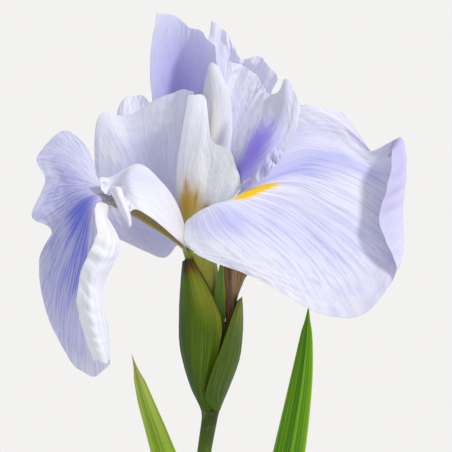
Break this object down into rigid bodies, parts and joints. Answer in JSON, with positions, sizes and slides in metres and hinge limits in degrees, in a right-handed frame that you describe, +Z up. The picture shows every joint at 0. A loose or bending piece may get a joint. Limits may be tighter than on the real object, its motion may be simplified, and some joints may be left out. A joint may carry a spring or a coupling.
{
  "type": "iris in a vase",
  "caption": "Double garden iris on a cut stem with green spathes and sword leaves, standing in a plain tapered ceramic vase for display on a table or shelf.",
  "frame": {"origin": "centre of the flat foot of the vase, on the surface it stands on", "axes": "+Z up along the vase, -Y towards the front of the bloom, +X to the right seen from the front"},
  "size_m": [0.1497, 0.1074, 0.3659],
  "materials": {
    "vase_glaze": "plain satin glaze, off-white",
    "stem_green": "smooth living stem, waxy",
    "leaf_green": "long parallel veins, satin",
    "spathe_green": "finely ribbed green sheath, brown at the tip",
    "bract_dry": "dry, papery, tan-brown",
    "petal_lavender": "soft matte petal, white with lavender veins and a yellow signal on the falls",
    "style_white": "soft matte, white with a lavender tint"
  },
  "bodies": {
    "root": {"vase": "vase_glaze", "stem": "stem_green", "leaf_left": "leaf_green", "leaf_right": "leaf_green", "floral_tube": "stem_green", "spathe_outer": "spathe_green", "spathe_inner": "spathe_green", "bract_inner": "spathe_green", "bract_withered": "bract_dry", "fall_right": "petal_lavender", "fall_left": "petal_lavender", "fall_back": "petal_lavender", "petal_behind": "petal_lavender", "standard_left": "petal_lavender", "standard_top": "petal_lavender", "standard_right": "petal_lavender", "petaloid_front": "petal_lavender", "style_left": "style_white", "style_back": "style_white", "style_right": "style_white"}
  },
  "joints": []
}
